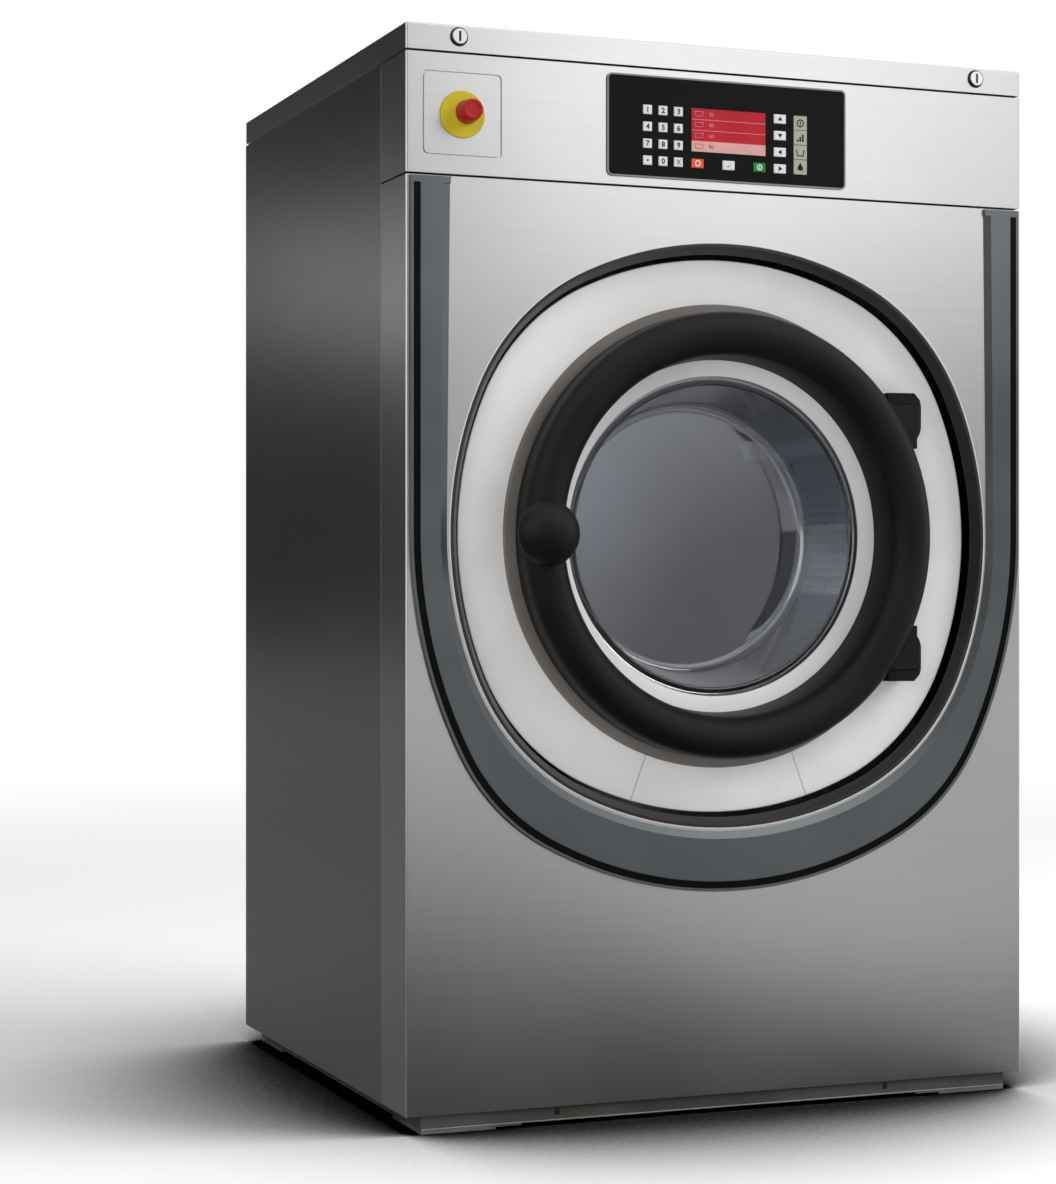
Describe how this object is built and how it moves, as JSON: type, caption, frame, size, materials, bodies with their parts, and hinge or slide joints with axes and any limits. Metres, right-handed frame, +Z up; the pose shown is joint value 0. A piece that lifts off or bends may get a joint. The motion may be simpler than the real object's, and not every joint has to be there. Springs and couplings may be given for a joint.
{
  "type": "commercial washing machine",
  "caption": "Front-loading commercial washer: steel cabinet with a rounded opening, sprung tub and drum, round glass door with ball knob, keypad with display, and emergency stop.",
  "frame": {"origin": "on the floor, under the middle of the machine's overall box", "axes": "+Z up, -Y out of the front with the door, +X to the right seen from the front"},
  "size_m": [0.71, 0.704, 1.115],
  "materials": {
    "panel_steel": "brushed",
    "side_steel": "satin",
    "base_paint": "satin",
    "zinc_plate": "satin",
    "lip_black": "satin",
    "moulding_grey": "satin",
    "lock_black": "gloss",
    "lock_chrome": "polished",
    "stop_yellow": "satin",
    "stop_red": "gloss",
    "bezel_black": "satin",
    "display_red": "gloss",
    "key_white": "satin",
    "key_orange": "satin",
    "key_green": "satin",
    "plate_pale": "satin",
    "seat_grey": "satin",
    "gasket_rubber": "matt",
    "tub_steel": "satin",
    "drum_steel": "satin",
    "cast_iron": "cast",
    "motor_alloy": "cast",
    "belt_rubber": "matt",
    "strut_steel": "satin",
    "door_black": "satin",
    "trim_silver": "satin",
    "door_glass": "polished",
    "fitting_grey": "satin"
  },
  "bodies": {
    "cabinet": {"base_rails": "base_paint", "front_plinth": "base_paint", "foot_plates": "zinc_plate", "front_panel": "panel_steel", "right_side_panel": "side_steel", "left_side_panel": "side_steel", "rear_panel": "side_steel", "top_panel": "panel_steel", "lock_housings": "lock_black", "opening_trim": "lip_black", "u_moulding": "moulding_grey", "stop_plate": "panel_steel", "stop_collar": "stop_yellow", "control_panel": "panel_steel", "control_bezel": "bezel_black", "display_window": "display_red", "strut_cylinders": "strut_steel", "rear_connections": "fitting_grey"},
    "tub": {"strut_rods": "strut_steel", "tub_front_plate": "plate_pale", "door_seat_ring": "seat_grey", "door_gasket": "gasket_rubber", "tub_shell": "tub_steel", "tub_saddles": "tub_steel", "bearing_housing": "cast_iron", "motor": "motor_alloy", "drive_belt": "belt_rubber", "hinge_brackets": "door_black"},
    "drum": {"drum_shell": "drum_steel", "drum_lifters": "drum_steel", "drum_shaft": "cast_iron", "drum_pulley": "motor_alloy"},
    "motor_rotor": {"motor_pulley": "motor_alloy"},
    "door": {"door_ring": "door_black", "door_trim_ring": "trim_silver", "door_glass": "door_glass", "hinge_arms": "door_black"},
    "knob": {"door_knob": "door_black"},
    "emergency_stop": {"stop_button": "stop_red"},
    "left_lock": {"left_lock_barrel": "lock_chrome"},
    "right_lock": {"right_lock_barrel": "lock_chrome"},
    "key_1": {"key_1": "key_white"},
    "key_2": {"key_2": "key_white"},
    "key_3": {"key_3": "key_white"},
    "key_4": {"key_4": "key_white"},
    "key_5": {"key_5": "key_white"},
    "key_6": {"key_6": "key_white"},
    "key_7": {"key_7": "key_white"},
    "key_8": {"key_8": "key_white"},
    "key_9": {"key_9": "key_white"},
    "key_point": {"key_point": "key_white"},
    "key_0": {"key_0": "key_white"},
    "key_clear": {"key_clear": "key_white"},
    "key_stop": {"key_stop": "key_orange"},
    "key_enter": {"key_enter": "key_white"},
    "key_start": {"key_start": "key_green"},
    "key_up": {"key_up": "key_white"},
    "key_down": {"key_down": "key_white"},
    "key_left": {"key_left": "key_white"},
    "key_right": {"key_right": "key_white"}
  },
  "joints": [
    {"name": "tub_bounce", "type": "slide", "parent": "cabinet", "child": "tub", "axis": [0, 0, 1], "range_m": [-0.005, 0.005], "stiffness_N_per_m": 60000, "springref_m": 0.01447},
    {"name": "drum_spin", "type": "hinge", "parent": "tub", "child": "drum", "pos_m": [0, 0, 0.6035], "axis": [0, 1, 0], "continuous": true},
    {"name": "motor_spin", "type": "hinge", "parent": "tub", "child": "motor_rotor", "pos_m": [0, 0.25, 0.205], "axis": [0, 1, 0], "continuous": true},
    {"name": "door_swing", "type": "hinge", "parent": "tub", "child": "door", "pos_m": [0.222, -0.294, 0.6035], "axis": [0, 0, 1], "range_deg": [0, 150]},
    {"name": "knob_turn", "type": "hinge", "parent": "door", "child": "knob", "pos_m": [-0.216, -0.3, 0.6035], "axis": [0, 1, 0], "range_deg": [0, 90]},
    {"name": "stop_press", "type": "slide", "parent": "cabinet", "child": "emergency_stop", "axis": [0, 1, 0], "range_m": [0, 0.004], "stiffness_N_per_m": 1500},
    {"name": "left_lock_turn", "type": "hinge", "parent": "cabinet", "child": "left_lock", "pos_m": [-0.2986, -0.288, 1.1032], "axis": [0, 1, 0], "range_deg": [0, 90]},
    {"name": "right_lock_turn", "type": "hinge", "parent": "cabinet", "child": "right_lock", "pos_m": [0.2986, -0.288, 1.1032], "axis": [0, 1, 0], "range_deg": [0, 90]},
    {"name": "key_1_press", "type": "slide", "parent": "cabinet", "child": "key_1", "axis": [0, 1, 0], "range_m": [0, 0.0008], "stiffness_N_per_m": 1500},
    {"name": "key_2_press", "type": "slide", "parent": "cabinet", "child": "key_2", "axis": [0, 1, 0], "range_m": [0, 0.0008], "stiffness_N_per_m": 1500},
    {"name": "key_3_press", "type": "slide", "parent": "cabinet", "child": "key_3", "axis": [0, 1, 0], "range_m": [0, 0.0008], "stiffness_N_per_m": 1500},
    {"name": "key_4_press", "type": "slide", "parent": "cabinet", "child": "key_4", "axis": [0, 1, 0], "range_m": [0, 0.0008], "stiffness_N_per_m": 1500},
    {"name": "key_5_press", "type": "slide", "parent": "cabinet", "child": "key_5", "axis": [0, 1, 0], "range_m": [0, 0.0008], "stiffness_N_per_m": 1500},
    {"name": "key_6_press", "type": "slide", "parent": "cabinet", "child": "key_6", "axis": [0, 1, 0], "range_m": [0, 0.0008], "stiffness_N_per_m": 1500},
    {"name": "key_7_press", "type": "slide", "parent": "cabinet", "child": "key_7", "axis": [0, 1, 0], "range_m": [0, 0.0008], "stiffness_N_per_m": 1500},
    {"name": "key_8_press", "type": "slide", "parent": "cabinet", "child": "key_8", "axis": [0, 1, 0], "range_m": [0, 0.0008], "stiffness_N_per_m": 1500},
    {"name": "key_9_press", "type": "slide", "parent": "cabinet", "child": "key_9", "axis": [0, 1, 0], "range_m": [0, 0.0008], "stiffness_N_per_m": 1500},
    {"name": "key_point_press", "type": "slide", "parent": "cabinet", "child": "key_point", "axis": [0, 1, 0], "range_m": [0, 0.0008], "stiffness_N_per_m": 1500},
    {"name": "key_0_press", "type": "slide", "parent": "cabinet", "child": "key_0", "axis": [0, 1, 0], "range_m": [0, 0.0008], "stiffness_N_per_m": 1500},
    {"name": "key_clear_press", "type": "slide", "parent": "cabinet", "child": "key_clear", "axis": [0, 1, 0], "range_m": [0, 0.0008], "stiffness_N_per_m": 1500},
    {"name": "key_stop_press", "type": "slide", "parent": "cabinet", "child": "key_stop", "axis": [0, 1, 0], "range_m": [0, 0.0008], "stiffness_N_per_m": 1500},
    {"name": "key_enter_press", "type": "slide", "parent": "cabinet", "child": "key_enter", "axis": [0, 1, 0], "range_m": [0, 0.0008], "stiffness_N_per_m": 1500},
    {"name": "key_start_press", "type": "slide", "parent": "cabinet", "child": "key_start", "axis": [0, 1, 0], "range_m": [0, 0.0008], "stiffness_N_per_m": 1500},
    {"name": "key_up_press", "type": "slide", "parent": "cabinet", "child": "key_up", "axis": [0, 1, 0], "range_m": [0, 0.0008], "stiffness_N_per_m": 1500},
    {"name": "key_down_press", "type": "slide", "parent": "cabinet", "child": "key_down", "axis": [0, 1, 0], "range_m": [0, 0.0008], "stiffness_N_per_m": 1500},
    {"name": "key_left_press", "type": "slide", "parent": "cabinet", "child": "key_left", "axis": [0, 1, 0], "range_m": [0, 0.0008], "stiffness_N_per_m": 1500},
    {"name": "key_right_press", "type": "slide", "parent": "cabinet", "child": "key_right", "axis": [0, 1, 0], "range_m": [0, 0.0008], "stiffness_N_per_m": 1500}
  ],
  "couplings": [
    {"joint": "motor_spin", "follows": "drum_spin", "ratio": 4}
  ]
}
